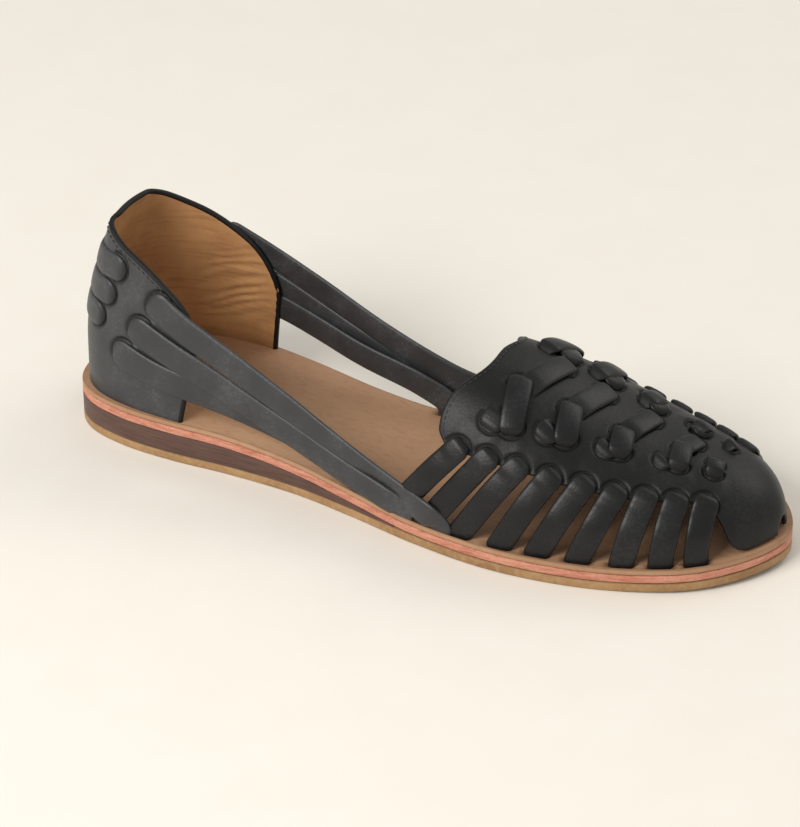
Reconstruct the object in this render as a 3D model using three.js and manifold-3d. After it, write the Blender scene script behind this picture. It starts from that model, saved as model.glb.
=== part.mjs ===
// Woven leather huarache sandal, right foot.
// Millimetres, +Z up, +X toward the toe, +Y toward the inner side of the foot.
// The sole is worked out from the heel forward, then the group is moved to the middle of the sole.
import * as THREE from 'three';
import { mergeVertices } from 'three/addons/utils/BufferGeometryUtils.js';
import Module from 'manifold-3d';

const wasm = await Module();
wasm.setup();

// Driving dimensions
const LENGTH = 262;            // sole, heel to toe
const BALL_WIDTH = 89;         // sole, across the ball
const OUTSOLE_THICKNESS = 3.4; // rubber under the whole foot
const WEDGE_HEIGHT = 7.2;      // heel wedge at its tallest
const MIDSOLE_THICKNESS = 2.6; // leather midsole
const INSOLE_THICKNESS = 2.0;  // leather footbed
const TOE_SPRING = 2.4;        // lift of the sole under the toe tip
const GAP = 0.3;               // clearance between pieces
const SLOT_GAP = 0.7;          // clearance round a strap in its slot
const LEATHER = 1.8;           // wall of the upper
const STRAP_WIDTH = 8.6;       // straps over the vamp
const QUARTER_WIDTH = 9.4;     // straps beside the heel
const BAND_WIDTH = 8;          // bands woven round the back of the counter
const COUNTER_HEIGHT = 65;     // heel counter above the footbed
const INSTEP_HEIGHT = 49;      // last above the footbed, at the rear of the vamp
const RIM = 4;                 // footbed that shows outside the upper at heel and toe
const SINK = 0.6;              // how far a raised strip is let into the leather below
const BAND_SINK = 0.35;        // where a heel band's underside lies in the counter, share of LEATHER
const BRAID_LIFT = 0.6;        // how far the ends of the braid's strips stand off the last
const BRAID_ARCH = { from: 0.15, to: 0.85 }; // the part of a half wave that a strip's rise follows
const WEDGE_TIP = 0.6;         // thickness where the wedge is pared off
const EDGE_BEVEL = 0.7;        // rounding of the straps' long edges
const HEEL_RIM_SHARE = 1.1;    // rim at the back of the heel, as a share of RIM
const PANEL_TIP = 0.4;         // the toe cap stops this far short of the last's tip
const TIP_SHARE = 0.35;        // width left at a strap's rounded tip
const SLOT_REACH = 1;          // how far a slot's cutter passes the footbed above and below
const ARC_OVER_STRAP = 120;    // length of the arc over the last, about

// Facets
const PLAN_POINTS = 600;
const SOLE_STEPS = 38;
const STRAP_STEPS = 8;
const QUARTER_STEPS = 12;
const BAND_STEPS = 10;
const BRAID_STEPS = 4;
const COUNTER_STEPS = 24;
const COUNTER_ROWS = 5;
const PANEL_STEPS = 20;
const PANEL_ROWS = 14;

// Plan of the sole, clockwise from the heel: at is a share of LENGTH, across of BALL_WIDTH
const SOLE_PLAN = [
  { at: 0.000, across: -0.030 },
  { at: 0.012, across: 0.160 },
  { at: 0.046, across: 0.262 },
  { at: 0.107, across: 0.322 },
  { at: 0.180, across: 0.334 },
  { at: 0.275, across: 0.303 },
  { at: 0.385, across: 0.266 },
  { at: 0.480, across: 0.276 },
  { at: 0.572, across: 0.360 },
  { at: 0.668, across: 0.442 },
  { at: 0.756, across: 0.478 },
  { at: 0.840, across: 0.444 },
  { at: 0.908, across: 0.369 },
  { at: 0.954, across: 0.281 },
  { at: 0.987, across: 0.152 },
  { at: 1.000, across: 0.022 },
  { at: 0.987, across: -0.101 },
  { at: 0.954, across: -0.236 },
  { at: 0.908, across: -0.348 },
  { at: 0.832, across: -0.444 },
  { at: 0.752, across: -0.501 },
  { at: 0.656, across: -0.522 },
  { at: 0.553, across: -0.487 },
  { at: 0.450, across: -0.421 },
  { at: 0.362, across: -0.375 },
  { at: 0.260, across: -0.361 },
  { at: 0.172, across: -0.367 },
  { at: 0.095, across: -0.348 },
  { at: 0.038, across: -0.291 },
  { at: 0.010, across: -0.202 },
];

// Where the heel wedge starts to fall and where it has run out, as shares of LENGTH
const WEDGE_FALL = { from: 0.2, to: 0.58 };
// Where the toe of the sole starts to lift, as a share of LENGTH
const SPRING_FROM = 0.78;

// Height of the last over the footbed: at is a share of LENGTH, rise of INSTEP_HEIGHT
const INSTEP_LINE = [
  { at: 0.540, rise: 1.045 },
  { at: 0.590, rise: 1.020 },
  { at: 0.645, rise: 0.955 },
  { at: 0.700, rise: 0.840 },
  { at: 0.750, rise: 0.715 },
  { at: 0.812, rise: 0.595 },
  { at: 0.875, rise: 0.500 },
  { at: 0.925, rise: 0.415 },
  { at: 0.955, rise: 0.330 },
  { at: 0.973, rise: 0.235 },
  { at: 0.982, rise: 0.150 },
  { at: 0.985, rise: 0.060 },
];

// Top edge of the heel counter: at is a share of LENGTH, rise of COUNTER_HEIGHT
const COUNTER_LINE = [
  { at: 0.000, rise: 1.000 },
  { at: 0.030, rise: 0.990 },
  { at: 0.055, rise: 0.960 },
  { at: 0.090, rise: 0.900 },
  { at: 0.130, rise: 0.830 },
  { at: 0.165, rise: 0.745 },
  { at: 0.193, rise: 0.655 },
  { at: 0.212, rise: 0.545 },
  { at: 0.226, rise: 0.400 },
];
// Front edges of the counter at the footbed and at their top, as shares of LENGTH
const COUNTER_FRONT = { outerFoot: 0.188, outerTop: 0.212, innerFoot: 0.216, innerTop: 0.226 };
const COUNTER_FRONT_TOP = 0.45; // height where the front edge starts to round over, as a share
const TOPLINE_TILT = 0.03;    // the top edge is this share higher on the outer side, and lower inside
const LEAN_FROM = 0.28;        // share of COUNTER_HEIGHT below which the back stands upright
const LEAN_POWER = 1.6;        // the lean grows with this power of the height
const LEAN_BACK = 12;          // how far the top of the heel leans forward
const LEAN_SIDE = 6.5;         // how far the sides of the counter lean in
const LAST_SQUARENESS = 2.15;  // exponent of the last's cross-section
const RIDGE_SHIFT = 1;         // the crest of the last lies to the inner side

// Where along its length a vamp strap climbs onto the edge of the panel
const ONTO_PANEL = { from: 0.75, to: 0.95 };

// Straps over the vamp, rear to toe: foot and top are shares of LENGTH, reach is a share of the arc,
// low and middle are how far the strap stands off the last, as shares of LEATHER
const VAMP_STRAPS = [
  { foot: 0.513, top: 0.612, reach: 0.214, low: 0.1, middle: 1.2 },
  { foot: 0.565, top: 0.652, reach: 0.220, low: 1.2, middle: 0.3 },
  { foot: 0.614, top: 0.690, reach: 0.230, low: 0.1, middle: 0.6 },
  { foot: 0.671, top: 0.730, reach: 0.243, low: 0.1, middle: 0.6 },
  { foot: 0.721, top: 0.770, reach: 0.262, low: 0.1, middle: 0.6 },
  { foot: 0.773, top: 0.808, reach: 0.272, low: 0.1, middle: 0.6 },
  { foot: 0.827, top: 0.842, reach: 0.290, low: 0.1, middle: 0.6 },
  { foot: 0.873, top: 0.876, reach: 0.305, low: 0.1, middle: 0.6 },
  { foot: 0.912, top: 0.908, reach: 0.325, low: 0.1, middle: 0.6 },
];

// Lower edge of the vamp panel: at is a share of LENGTH, reach a share of the arc over the last
const PANEL_EDGE = [
  { at: 0.560, reach: 0.195 },
  { at: 0.640, reach: 0.203 },
  { at: 0.740, reach: 0.226 },
  { at: 0.840, reach: 0.257 },
  { at: 0.905, reach: 0.285 },
  { at: 0.930, reach: 0.200 },
  { at: 0.952, reach: 0.030 },
  { at: 0.985, reach: 0.030 },
];

// Rear edge of the vamp panel: at here is the share across, edge to crest
const REAR_EDGE_ROWS = [
  { across: 0.00, at: 0.585 },
  { across: 0.06, at: 0.570 },
  { across: 0.20, at: 0.574 },
  { across: 0.35, at: 0.598 },
  { across: 0.42, at: 0.604 },
  { across: 0.50, at: 0.605 },
];

// Straps beside the heel: at is a share of LENGTH, rise of COUNTER_HEIGHT, one path a strap
const QUARTER_PATHS = {
  upper: [
    { at: 0.140, rise: 0.700, lift: 0.60 },
    { at: 0.200, rise: 0.565, lift: 0.75 },
    { at: 0.320, rise: 0.375, lift: 1.00 },
    { at: 0.450, rise: 0.212, lift: 0.80 },
    { at: 0.530, rise: 0.115, lift: 0.20 },
    { at: 0.575, rise: 0.080, lift: 1.20 },
    { at: 0.588, rise: 0.025, lift: 0.40 },
    { at: 0.588, rise: -0.050, lift: 0.10 },
  ],
  middle: [
    { at: 0.110, rise: 0.520, lift: 0.60 },
    { at: 0.190, rise: 0.395, lift: 0.75 },
    { at: 0.320, rise: 0.212, lift: 1.00 },
    { at: 0.430, rise: 0.118, lift: 1.20 },
    { at: 0.505, rise: 0.080, lift: 1.30 },
    { at: 0.530, rise: 0.030, lift: 0.40 },
    { at: 0.530, rise: -0.050, lift: 0.10 },
  ],
  lower: [
    { at: 0.085, rise: 0.345, lift: 0.60 },
    { at: 0.150, rise: 0.272, lift: 0.60 },
    { at: 0.230, rise: 0.210, lift: 0.30 },
    { at: 0.330, rise: 0.145, lift: -0.60 },
    { at: 0.430, rise: 0.098, lift: -0.60 },
    { at: 0.468, rise: 0.035, lift: -0.40 },
    { at: 0.468, rise: -0.050, lift: 0.10 },
  ],
};
// On the inner side the straps run higher, and reach the footbed further forward
const INNER_RISE = 0.06;       // at the middle of the strap, share of COUNTER_HEIGHT
const INNER_REACH = 0.02;      // at the foot of the strap, share of LENGTH

// Bands woven round the back of the counter: rise is a share of COUNTER_HEIGHT, reach of LENGTH
const HEEL_BANDS = [
  { rise: 0.795, reach: 0.100 },
  { rise: 0.640, reach: 0.085 },
  { rise: 0.490, reach: 0.068 },
];

// Braid over the vamp: at is a share of LENGTH, across of the arc over the last, wide of STRAP_WIDTH,
// and height, how far the strip's underside rises at its middle, of LEATHER
const BRAID = [
  { at: 0.655, across: 0.285, toAt: 0.660, toAcross: 0.430, wide: 1.00, height: 1.0 },
  { at: 0.722, across: 0.295, toAt: 0.733, toAcross: 0.430, wide: 1.00, height: 1.0 },
  { at: 0.790, across: 0.325, toAt: 0.795, toAcross: 0.430, wide: 0.93, height: 0.9 },
  { at: 0.850, across: 0.350, toAt: 0.860, toAcross: 0.440, wide: 0.86, height: 0.8 },
  { at: 0.902, across: 0.375, toAt: 0.904, toAcross: 0.440, wide: 0.77, height: 0.7 },
  { at: 0.622, across: 0.290, toAt: 0.690, toAcross: 0.610, wide: 1.05, height: 0.7 },
  { at: 0.690, across: 0.300, toAt: 0.757, toAcross: 0.610, wide: 1.05, height: 0.7 },
  { at: 0.765, across: 0.325, toAt: 0.822, toAcross: 0.600, wide: 0.98, height: 0.7 },
  { at: 0.838, across: 0.350, toAt: 0.882, toAcross: 0.590, wide: 0.88, height: 0.6 },
];

// Curve helpers
const clamp01 = (t) => Math.min(1, Math.max(0, t));
const ease = (t) => clamp01(t) ** 2 * (3 - 2 * clamp01(t));
const mix = THREE.MathUtils.lerp;

// Reads a column of a table at a given place along it, on a smooth curve through its rows
function read(table, column, at) {
  const last = table.length - 1;
  if (at <= table[0].at) return table[0][column];
  if (at >= table[last].at) return table[last][column];
  const i = table.findIndex((row) => row.at > at) - 1;
  const slope = (k) => {
    const a = table[Math.max(0, k - 1)];
    const b = table[Math.min(last, k + 1)];
    return (b[column] - a[column]) / (b.at - a.at);
  };
  const span = table[i + 1].at - table[i].at;
  const t = (at - table[i].at) / span;
  const h1 = t * t * (3 - 2 * t);
  const rise = span * (slope(i) * t * (1 - t) ** 2 - slope(i + 1) * t * t * (1 - t));
  return table[i][column] * (1 - h1) + table[i + 1][column] * h1 + rise;
}

// Plan of the sole as a closed curve and as the two sides at a given length
const planCurve = new THREE.CatmullRomCurve3(
  SOLE_PLAN.map((p) => new THREE.Vector3(p.at * LENGTH, p.across * BALL_WIDTH, 0)), true, 'centripetal');
const planPoints = planCurve.getPoints(PLAN_POINTS);
const tipIndex = planPoints.reduce((best, p, i) => (p.x > planPoints[best].x ? i : best), 0);
const innerSide = planPoints.slice(0, tipIndex + 1);
const outerSide = planPoints.slice(tipIndex).reverse();
const soleEnd = planPoints[tipIndex].x;

function sideAt(side, x) {
  let i = side.findIndex((p) => p.x > x);
  if (i < 0) i = side.length - 1;
  i = Math.max(1, i);
  const a = side[i - 1];
  const b = side[i];
  return mix(a.y, b.y, clamp01((x - a.x) / Math.max(1e-9, b.x - a.x)));
}
const inner = (x) => sideAt(innerSide, x);
const outer = (x) => sideAt(outerSide, x);

// Heights of the layers of the sole
const springAt = (x) => TOE_SPRING * clamp01((x / LENGTH - SPRING_FROM) / (1 - SPRING_FROM)) ** 2;
const wedgeAt = (x) => (WEDGE_HEIGHT + GAP)
  * (1 - ease((x / LENGTH - WEDGE_FALL.from) / (WEDGE_FALL.to - WEDGE_FALL.from)));
const outsoleTop = (x) => springAt(x) + OUTSOLE_THICKNESS;
const midsoleBottom = (x) => outsoleTop(x) + GAP + wedgeAt(x);
const midsoleTop = (x) => midsoleBottom(x) + MIDSOLE_THICKNESS;
const insoleBottom = (x) => midsoleTop(x) + GAP;
const footbed = (x) => insoleBottom(x) + INSOLE_THICKNESS;

// Solids
function toGeometry(positions, faces) {
  const geometry = new THREE.BufferGeometry();
  const values = positions.flatMap((p) => [p.x, p.y, p.z]);
  geometry.setAttribute('position', new THREE.Float32BufferAttribute(values, 3));
  geometry.setIndex(faces);
  return mergeVertices(geometry, 1e-4);
}

function toSolid(geometry) {
  const mesh = new wasm.Mesh({
    numProp: 3,
    vertProperties: new Float32Array(geometry.attributes.position.array),
    triVerts: new Uint32Array(geometry.index.array),
  });
  return new wasm.Manifold(mesh);
}

function fromSolid(solid) {
  const mesh = solid.getMesh();
  const geometry = new THREE.BufferGeometry();
  geometry.setAttribute('position', new THREE.Float32BufferAttribute(mesh.vertProperties, 3));
  geometry.setIndex(new THREE.Uint32BufferAttribute(mesh.triVerts, 1));
  return geometry;
}

// Turns a closed body's faces outward
function outward(positions, faces) {
  let volume = 0;
  for (let i = 0; i < faces.length; i += 3) {
    const [a, b, c] = [positions[faces[i]], positions[faces[i + 1]], positions[faces[i + 2]]];
    volume += a.dot(b.clone().cross(c));
  }
  if (volume < 0) faces.reverse();
  return toGeometry(positions, faces);
}

// A closed body from a row of rings with the same number of points
function loft(rings) {
  const n = rings[0].length;
  const faces = [];
  for (let i = 0; i < rings.length - 1; i += 1) {
    for (let j = 0; j < n; j += 1) {
      const a = i * n + j;
      const b = i * n + ((j + 1) % n);
      faces.push(a, b, b + n, a, b + n, a + n);
    }
  }
  const lastRing = (rings.length - 1) * n;
  for (let j = 1; j < n - 1; j += 1) {
    faces.push(0, j + 1, j);
    faces.push(lastRing, lastRing + j, lastRing + j + 1);
  }
  return outward(rings.flat(), faces);
}

// A wall between a grid of outside points and the same grid of inside points
function wall(outside, inside) {
  const rows = outside.length;
  const columns = outside[0].length;
  const faces = [];
  const quad = (a, b, c, d) => faces.push(a, b, c, a, c, d);
  const out = (i, j) => i * columns + j;
  const inn = (i, j) => rows * columns + i * columns + j;
  const endRow = rows - 1;
  const endColumn = columns - 1;
  for (let i = 0; i < endRow; i += 1) {
    for (let j = 0; j < endColumn; j += 1) {
      quad(out(i, j), out(i + 1, j), out(i + 1, j + 1), out(i, j + 1));
      quad(inn(i, j), inn(i, j + 1), inn(i + 1, j + 1), inn(i + 1, j));
    }
    quad(out(i + 1, 0), out(i, 0), inn(i, 0), inn(i + 1, 0));
    quad(out(i, endColumn), out(i + 1, endColumn), inn(i + 1, endColumn), inn(i, endColumn));
  }
  for (let j = 0; j < endColumn; j += 1) {
    quad(out(0, j), out(0, j + 1), inn(0, j + 1), inn(0, j));
    quad(out(endRow, j + 1), out(endRow, j), inn(endRow, j), inn(endRow, j + 1));
  }
  return outward([...outside.flat(), ...inside.flat()], faces);
}

// One layer of the sole between two lengths and two heights
function layer(from, to, bottom, top) {
  const rings = [];
  for (let i = 0; i <= SOLE_STEPS; i += 1) {
    const x = mix(from, to, (1 - Math.cos((Math.PI * i) / SOLE_STEPS)) / 2);
    rings.push([
      new THREE.Vector3(x, inner(x), bottom(x)),
      new THREE.Vector3(x, inner(x), top(x)),
      new THREE.Vector3(x, outer(x), top(x)),
      new THREE.Vector3(x, outer(x), bottom(x)),
    ]);
  }
  return loft(rings);
}

// The foot line of the last: the plan of the sole, drawn in by the rim
const lastBack = RIM * HEEL_RIM_SHARE;
const lastFront = soleEnd - RIM;
const drawIn = 1 - (2 * RIM) / BALL_WIDTH;
const footLine = planPoints.slice(0, -1).map((p) => {
  const middle = (inner(p.x) + outer(p.x)) / 2;
  return new THREE.Vector2(
    mix(lastBack, lastFront, p.x / soleEnd), middle + (p.y - middle) * drawIn);
});

// A place on the foot line and the way out of the shoe there
function footAt(index) {
  const n = footLine.length;
  const whole = Math.floor(index);
  const pick = (k) => footLine[((k % n) + n) % n];
  const point = pick(whole).clone().lerp(pick(whole + 1), index - whole);
  const along = pick(whole + 3).clone().sub(pick(whole - 2)).normalize();
  return { point, out: new THREE.Vector3(-along.y, along.x, 0) };
}

// The index on the foot line at a given length, on the inner side (1) or the outer side (-1)
function footIndex(x, side) {
  const n = footLine.length;
  const tip = footLine.reduce((best, p, i) => (p.x > footLine[best].x ? i : best), 0);
  const order = side > 0 ? (k) => k : (k) => (n - k) % n;
  const steps = side > 0 ? tip : n - tip;
  let k = 0;
  while (k < steps && footLine[order(k)].x < x) k += 1;
  const a = footLine[order(Math.max(0, k - 1))].x;
  const b = footLine[order(k)].x;
  const share = b > a ? clamp01((x - a) / (b - a)) : 0;
  return side * (Math.max(0, k - 1) + share);
}

// The side wall of the last round the heel, at a height over the footbed
function sideWall(index, height, lift) {
  const { point, out } = footAt(index);
  const back = Math.max(0, -out.x) ** 2;
  const share = Math.max(0, height / COUNTER_HEIGHT - LEAN_FROM) / (1 - LEAN_FROM);
  const lean = mix(LEAN_SIDE, LEAN_BACK, back) * share ** LEAN_POWER;
  const x = point.x + out.x * (lift - lean);
  const y = point.y + out.y * (lift - lean);
  return new THREE.Vector3(x, y, footbed(x) + height);
}

// The last over the instep and toes: across runs 0 to 1 from the outer foot line to the inner one
const power = (v) => Math.sign(v) * Math.abs(v) ** (2 / LAST_SQUARENESS);
function lastPoint(x, across) {
  const y0 = footAt(footIndex(x, -1)).point.y;
  const y1 = footAt(footIndex(x, 1)).point.y;
  const half = (y1 - y0) / 2;
  const angle = Math.PI * across;
  const height = INSTEP_HEIGHT * read(INSTEP_LINE, 'rise', x / LENGTH);
  const shift = (RIDGE_SHIFT * 2 * half) / BALL_WIDTH;
  return new THREE.Vector3(
    x, (y0 + y1) / 2 - half * power(Math.cos(angle)) + shift * Math.sin(angle),
    footbed(x) + height * power(Math.sin(angle)));
}
function lastNormal(x, across) {
  const step = 0.5;
  const turn = 0.01;
  const ahead = lastPoint(Math.min(x + step, lastFront - 0.05), across);
  const along = ahead.sub(lastPoint(x - step, across));
  const over = lastPoint(x, Math.min(1, across + turn)).sub(lastPoint(x, Math.max(0, across - turn)));
  return along.cross(over).normalize();
}
const onLast = (x, across, lift) => lastPoint(x, across).addScaledVector(lastNormal(x, across), lift);

// A strap: each stop has a point, the way out of the shoe, a width, how far its underside stands off
// and, where it has to be given, the way along
function strap(stops, grow = 0) {
  const rings = stops.map((stop, i) => {
    const before = stops[Math.max(0, i - 1)].point;
    const after = stops[Math.min(stops.length - 1, i + 1)].point;
    const along = stop.along ?? after.clone().sub(before).normalize();
    const across = along.clone().cross(stop.out).normalize();
    const out = across.clone().cross(along).normalize();
    const half = stop.width / 2 + grow;
    const place = (sideways, lift) => stop.point.clone()
      .addScaledVector(across, sideways).addScaledVector(out, lift);
    const bevel = Math.min(EDGE_BEVEL, half / 2);
    const low = stop.base - grow;
    const high = stop.base + LEATHER + grow;
    return [place(-half, low), place(-half + bevel, high), place(half - bevel, high), place(half, low)];
  });
  return loft(rings);
}

// Narrows a strap to a rounded tip near either end
function tipShare(distance, width) {
  const t = clamp01(distance / (width / 2));
  return Math.max(TIP_SHARE, Math.sqrt(1 - (1 - t) ** 2));
}

// A strap over the vamp, from the midsole up through the footbed to the panel
function vampStops(row, side) {
  const stops = [];
  const foot = row.foot * LENGTH;
  const top = row.top * LENGTH;
  const ground = footAt(footIndex(foot, side));
  const edge = LEATHER - SINK;
  const low = new THREE.Vector3(ground.point.x, ground.point.y, insoleBottom(foot) - SLOT_REACH);
  stops.push({
    point: low, out: ground.out, width: STRAP_WIDTH, base: 0, along: new THREE.Vector3(0, 0, 1),
  });
  for (let i = 0; i <= STRAP_STEPS; i += 1) {
    const t = 1 - (1 - i / STRAP_STEPS) ** 1.6;
    const reach = Math.max(0.004, row.reach * t);
    const x = mix(foot, top, t ** 0.85);
    const across = side > 0 ? 1 - reach : reach;
    const bow = mix(row.low, row.middle, ease(2 * t)) * LEATHER * Math.sin(Math.PI * clamp01(0.1 + t * 0.9));
    const point = lastPoint(x, across);
    const end = (1 - t) * row.reach * ARC_OVER_STRAP;
    stops.push({
      point, out: lastNormal(x, across), width: STRAP_WIDTH * tipShare(end, STRAP_WIDTH),
      base: Math.max(bow, edge * ease((t - ONTO_PANEL.from) / (ONTO_PANEL.to - ONTO_PANEL.from))),
    });
  }
  stops[1].point.z = footbed(foot);
  return stops;
}

// A strap beside the heel, from its slit in the counter to its slot in the footbed
function quarterStops(path, side) {
  const route = new THREE.CatmullRomCurve3(
    path.map((row) => new THREE.Vector3(row.at * LENGTH, row.rise * COUNTER_HEIGHT, row.lift * LEATHER)));
  const stops = [];
  for (let i = 0; i <= QUARTER_STEPS; i += 1) {
    const stop = route.getPoint(i / QUARTER_STEPS);
    if (side > 0) {
      stop.x += INNER_REACH * LENGTH * ease(i / QUARTER_STEPS);
      stop.y += INNER_RISE * COUNTER_HEIGHT * Math.sin((Math.PI * i) / QUARTER_STEPS);
    }
    const index = footIndex(stop.x, side);
    stops.push({
      point: sideWall(index, stop.y, 0), out: footAt(index).out,
      width: QUARTER_WIDTH * tipShare(stop.x - path[0].at * LENGTH, QUARTER_WIDTH),
      base: stop.z,
    });
  }
  stops[QUARTER_STEPS].along = new THREE.Vector3(0, 0, -1);
  return stops;
}

// A band round the back of the counter
function bandStops(row) {
  const from = footIndex(row.reach * LENGTH, -1);
  const to = footIndex(row.reach * LENGTH, 1);
  const stops = [];
  for (let i = 0; i <= BAND_STEPS; i += 1) {
    const index = mix(from, to, i / BAND_STEPS);
    const end = Math.min(i, BAND_STEPS - i) * (row.reach * LENGTH * 4 / BAND_STEPS);
    stops.push({
      point: sideWall(index, row.rise * COUNTER_HEIGHT, 0), out: footAt(index).out,
      width: BAND_WIDTH * tipShare(end, BAND_WIDTH), base: LEATHER * BAND_SINK,
    });
  }
  return stops;
}

// A raised strip of the braid
function braidStops(row, side) {
  const stops = [];
  for (let i = 0; i <= BRAID_STEPS; i += 1) {
    const t = i / BRAID_STEPS;
    const x = mix(row.at, row.toAt, t) * LENGTH;
    const share = mix(row.across, row.toAcross, t);
    const across = side > 0 ? 1 - share : share;
    const end = Math.min(t, 1 - t) * Math.abs(row.toAcross - row.across) * ARC_OVER_STRAP;
    const width = row.wide * STRAP_WIDTH;
    const arch = Math.sin(Math.PI * mix(BRAID_ARCH.from, BRAID_ARCH.to, t));
    stops.push({
      point: lastPoint(x, across), out: lastNormal(x, across),
      width: width * tipShare(end, width),
      base: BRAID_LIFT + LEATHER * (row.height - BRAID_LIFT) * arch,
    });
  }
  return stops;
}

// The heel counter, and the same wall grown and cut short for its slot
function counterWall(bottom, top, grow) {
  const front = (foot, high, share) => mix(foot, high, share) * LENGTH + grow;
  const outside = [];
  const inside = [];
  for (let i = 0; i <= COUNTER_STEPS; i += 1) {
    const round = i / COUNTER_STEPS;
    const indexAt = (share) => mix(
      footIndex(front(COUNTER_FRONT.outerFoot, COUNTER_FRONT.outerTop, share), -1),
      footIndex(front(COUNTER_FRONT.innerFoot, COUNTER_FRONT.innerTop, share), 1), round);
    const at = footAt(indexAt(1)).point.x / LENGTH;
    const tilt = mix(1 + TOPLINE_TILT, 1 - TOPLINE_TILT, round);
    const high = top === null ? COUNTER_HEIGHT * read(COUNTER_LINE, 'rise', at) * tilt : top;
    const heights = [bottom];
    for (let j = 0; j <= COUNTER_ROWS; j += 1) heights.push(mix(0, high, j / COUNTER_ROWS));
    const share = (h) => clamp01(h / (COUNTER_HEIGHT * COUNTER_FRONT_TOP));
    outside.push(heights.map((h) => sideWall(indexAt(share(h)), h, LEATHER + grow)));
    inside.push(heights.map((h) => sideWall(indexAt(share(h)), h, -grow)));
  }
  return wall(outside, inside);
}

const rearEdge = (across) => read(
  REAR_EDGE_ROWS.map((row) => ({ at: row.across, edge: row.at })), 'edge', across);

// Keeps the toe cap's edge just clear of the footbed
function aboveFootbed(point) {
  point.z = Math.max(point.z, footbed(Math.min(point.x, soleEnd)) + GAP);
  return point;
}

// The vamp panel and toe cap in one wall over the last
function vampPanel() {
  const outside = [];
  const inside = [];
  for (let i = 0; i <= PANEL_STEPS; i += 1) {
    const u = i / PANEL_STEPS;
    const out = [];
    const inn = [];
    for (let j = 0; j <= PANEL_ROWS; j += 1) {
      const v = j / PANEL_ROWS;
      const rear = rearEdge(0.5 - Math.abs(0.5 - v)) * LENGTH;
      const x = mix(rear, lastFront - PANEL_TIP, 1 - (1 - u) ** 1.25);
      const reach = read(PANEL_EDGE, 'reach', x / LENGTH);
      const across = mix(reach, 1 - reach, v);
      out.push(aboveFootbed(onLast(x, across, LEATHER)));
      inn.push(aboveFootbed(onLast(x, across, 0)));
    }
    outside.push(out);
    inside.push(inn);
  }
  return wall(outside, inside);
}

function joined(solids) {
  return solids.reduce((whole, part) => whole.add(part));
}

// Drops the slivers that two slots leave between them
function largest(solid) {
  return solid.decompose().reduce((best, part) => (part.volume() > best.volume() ? part : best));
}

const sides = [-1, 1];
const straps = sides.flatMap((side) => [
  ...VAMP_STRAPS.map((row) => vampStops(row, side)),
  ...Object.values(QUARTER_PATHS).map((path) => quarterStops(path, side)),
]);
const wholeSole = [0, soleEnd];
const upperSolid = joined([
  toSolid(counterWall(-INSOLE_THICKNESS - SLOT_REACH, null, 0)),
  toSolid(vampPanel()),
  ...straps.map((stops) => toSolid(strap(stops))),
  ...HEEL_BANDS.map((row) => toSolid(strap(bandStops(row)))),
  ...sides.flatMap((side) => BRAID.map((row) => toSolid(strap(braidStops(row, side))))),
]).subtract(toSolid(layer(...wholeSole, () => 0, insoleBottom)));

let wedgeEnd = WEDGE_FALL.from * LENGTH;
while (wedgeAt(wedgeEnd) > GAP + WEDGE_TIP) wedgeEnd += 0.5;

const outsole = layer(...wholeSole, springAt, outsoleTop);
const heelWedge = layer(0, wedgeEnd, (x) => outsoleTop(x) + GAP, (x) => outsoleTop(x) + wedgeAt(x));
const midsole = layer(...wholeSole, midsoleBottom, midsoleTop);
// The slots that the straps and the counter pass through in the footbed
const slots = [
  toSolid(counterWall(-INSOLE_THICKNESS - SLOT_REACH, SLOT_REACH, GAP)),
  ...straps.map((stops) => toSolid(strap(stops, SLOT_GAP))),
];
const insole = fromSolid(
  largest(toSolid(layer(...wholeSole, insoleBottom, footbed)).subtract(joined(slots))));

const material = (color, roughness) => new THREE.MeshStandardMaterial({ color, roughness, metalness: 0 });
function piece(name, geometry, finish) {
  const mesh = new THREE.Mesh(geometry, finish);
  mesh.name = name;
  return mesh;
}

const sandal = new THREE.Group();
sandal.add(
  piece('outsole', outsole, material('#b48a5c', 0.7)),
  piece('heel_wedge', heelWedge, material('#58443a', 0.6)),
  piece('midsole', midsole, material('#cf9880', 0.6)),
  piece('insole', insole, material('#a8845f', 0.6)),
  piece('upper', fromSolid(upperSolid), material('#262626', 0.5)),
);
const soleMiddle = (Math.max(...planPoints.map((p) => p.y)) + Math.min(...planPoints.map((p) => p.y))) / 2;
sandal.position.set(-soleEnd / 2, -soleMiddle, 0);
export default sandal;
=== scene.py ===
# Woven leather huarache sandal, right foot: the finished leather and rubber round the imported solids.
# Lengths are worked out in millimetres from the heel forward, and turned to metres when a mesh is made.
import math

import bmesh
import bpy
import numpy as np
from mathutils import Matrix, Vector


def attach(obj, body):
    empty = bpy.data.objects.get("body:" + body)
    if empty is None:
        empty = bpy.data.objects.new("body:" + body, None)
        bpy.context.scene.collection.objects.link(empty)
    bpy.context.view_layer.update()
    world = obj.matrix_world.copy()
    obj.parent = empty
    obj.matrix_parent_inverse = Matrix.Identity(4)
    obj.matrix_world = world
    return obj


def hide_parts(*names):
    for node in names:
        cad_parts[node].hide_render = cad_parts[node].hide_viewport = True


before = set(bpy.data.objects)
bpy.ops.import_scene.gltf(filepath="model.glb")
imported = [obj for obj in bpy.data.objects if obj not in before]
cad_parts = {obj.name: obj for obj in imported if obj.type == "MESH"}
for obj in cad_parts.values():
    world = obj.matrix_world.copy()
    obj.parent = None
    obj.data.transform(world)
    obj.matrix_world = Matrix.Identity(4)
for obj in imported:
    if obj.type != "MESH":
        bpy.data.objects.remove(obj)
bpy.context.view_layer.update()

# Sizes of the shoe
LENGTH = 262
BALL_WIDTH = 89
OUTSOLE_THICKNESS = 3.4
WEDGE_HEIGHT = 7.2
MIDSOLE_THICKNESS = 2.6
INSOLE_THICKNESS = 2.0
TOE_SPRING = 2.4
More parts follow.
